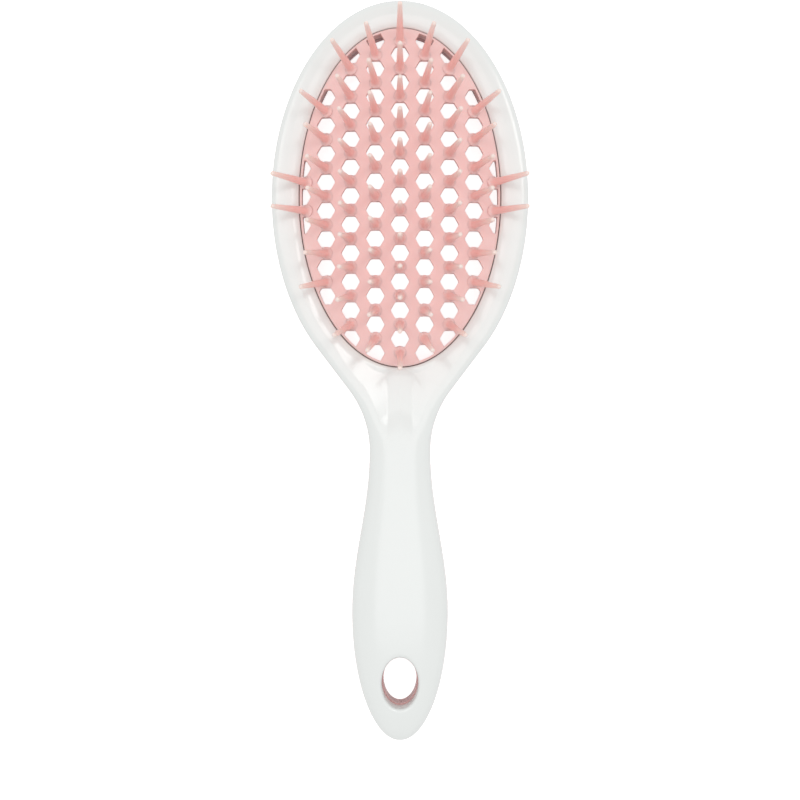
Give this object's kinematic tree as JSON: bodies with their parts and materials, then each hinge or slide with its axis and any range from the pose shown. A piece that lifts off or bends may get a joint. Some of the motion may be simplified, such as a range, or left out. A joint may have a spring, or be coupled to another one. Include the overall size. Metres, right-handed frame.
{
  "type": "blow-dry hair brush",
  "caption": "Oval vented hair brush with a domed honeycomb pad, splayed tines and a two-shell ring and handle with a hanging hole.",
  "frame": {"origin": "middle of the brush's length and width, on the surface that its back rests on", "axes": "+Y along the brush towards the head, +Z out of the tine side, X across the brush"},
  "size_m": [0.0834, 0.24, 0.0344],
  "materials": {
    "front_shell": "gloss",
    "back_shell": "gloss",
    "bristle_pad": "satin"
  },
  "bodies": {
    "root": {"front_shell": "front_shell", "back_shell": "back_shell", "bristle_pad": "bristle_pad"}
  },
  "joints": []
}
